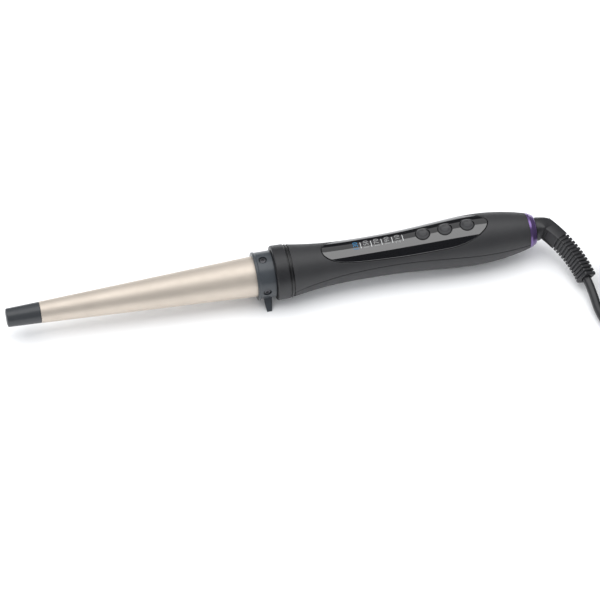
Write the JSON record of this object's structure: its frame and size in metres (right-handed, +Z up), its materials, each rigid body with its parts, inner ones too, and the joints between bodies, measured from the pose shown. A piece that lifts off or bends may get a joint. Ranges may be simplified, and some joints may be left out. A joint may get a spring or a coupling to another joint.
{
  "type": "curling wand",
  "caption": "Conical hair curling wand with a heated barrel, a soft-touch handle with a control panel and buttons, small rest feet and a swivelling mains cord coiled beside it.",
  "frame": {"origin": "on the table, under the middle of the wand's length, measured without the cord, its strain relief and its plug", "axes": "+X along the wand from the cool tip towards the cord, +Z up through the buttons, +Y to the left of someone looking from the tip to the cord"},
  "size_m": [0.5564, 0.1084, 0.0345],
  "materials": {
    "cap_plastic": "satin slate grey",
    "barrel_coating": "satin champagne ceramic coating on aluminium",
    "ceramic": "matt white ceramic",
    "spreader_metal": "cast",
    "steel": "plain",
    "black_screws": "blackened",
    "collar_plastic": "satin, heat resistant",
    "nose_plastic": "fine matt texture",
    "groove_rubber": "satin",
    "shell_plastic": "soft-touch coating",
    "panel_gloss": "piano black",
    "print_white": "printed",
    "clear_guide": "clear polycarbonate",
    "button_rubber": "satin",
    "board_green": "solder resist",
    "component_black": "moulded",
    "component_yellow": "film capacitor case",
    "contact_brass": "polished",
    "bearing_plastic": "acetal",
    "ring_purple": "glossy metallic purple",
    "cord_rubber": "matt",
    "tie_fabric": "hook and loop strap",
    "pin_chrome": "nickel plated"
  },
  "bodies": {
    "cord_side": {"swivel_shaft": "steel", "contact_rings": "contact_brass", "shaft_clip": "steel", "strain_relief": "cord_rubber", "cord_lead": "cord_rubber", "cord_coil": "cord_rubber", "cord_tail": "cord_rubber", "cord_tie": "tie_fabric", "plug_relief": "cord_rubber", "plug_body": "component_black", "plug_pins": "pin_chrome"},
    "handle": {"tip_cap": "cap_plastic", "barrel": "barrel_coating", "heater_element": "ceramic", "heat_spreader_upper": "spreader_metal", "heat_spreader_lower": "spreader_metal", "spreader_spring": "steel", "temperature_sensor": "component_yellow", "thermal_fuse": "steel", "barrel_insulator": "ceramic", "heat_collar": "collar_plastic", "collar_screws": "black_screws", "nose_ring": "nose_plastic", "groove_ring": "groove_rubber", "upper_shell": "shell_plastic", "lower_shell": "shell_plastic", "shell_screws": "black_screws", "control_panel": "panel_gloss", "scale_marks": "print_white", "light_guide": "clear_guide", "circuit_board": "board_green", "board_screws": "steel", "tact_switches": "component_black", "indicator_leds": "ceramic", "control_chip": "component_black", "triac": "component_black", "capacitor": "component_yellow", "buzzer": "component_black", "heater_leads": "ceramic", "brush_holder": "bearing_plastic", "contact_brushes": "contact_brass", "swivel_bush": "bearing_plastic", "end_ring": "ring_purple"},
    "power": {"power_button": "button_rubber"},
    "minus": {"minus_button": "button_rubber"},
    "plus": {"plus_button": "button_rubber"}
  },
  "joints": [
    {"name": "cord_swivel", "type": "hinge", "parent": "cord_side", "child": "handle", "pos_m": [0.15, 0, 0.0174], "axis": [1, 0, 0], "continuous": true},
    {"name": "power_press", "type": "slide", "parent": "handle", "child": "power", "axis": [0, 0, -1], "range_m": [0, 0.0006], "stiffness_N_per_m": 300},
    {"name": "minus_press", "type": "slide", "parent": "handle", "child": "minus", "axis": [0, 0, -1], "range_m": [0, 0.0006], "stiffness_N_per_m": 300},
    {"name": "plus_press", "type": "slide", "parent": "handle", "child": "plus", "axis": [0, 0, -1], "range_m": [0, 0.0006], "stiffness_N_per_m": 300}
  ]
}
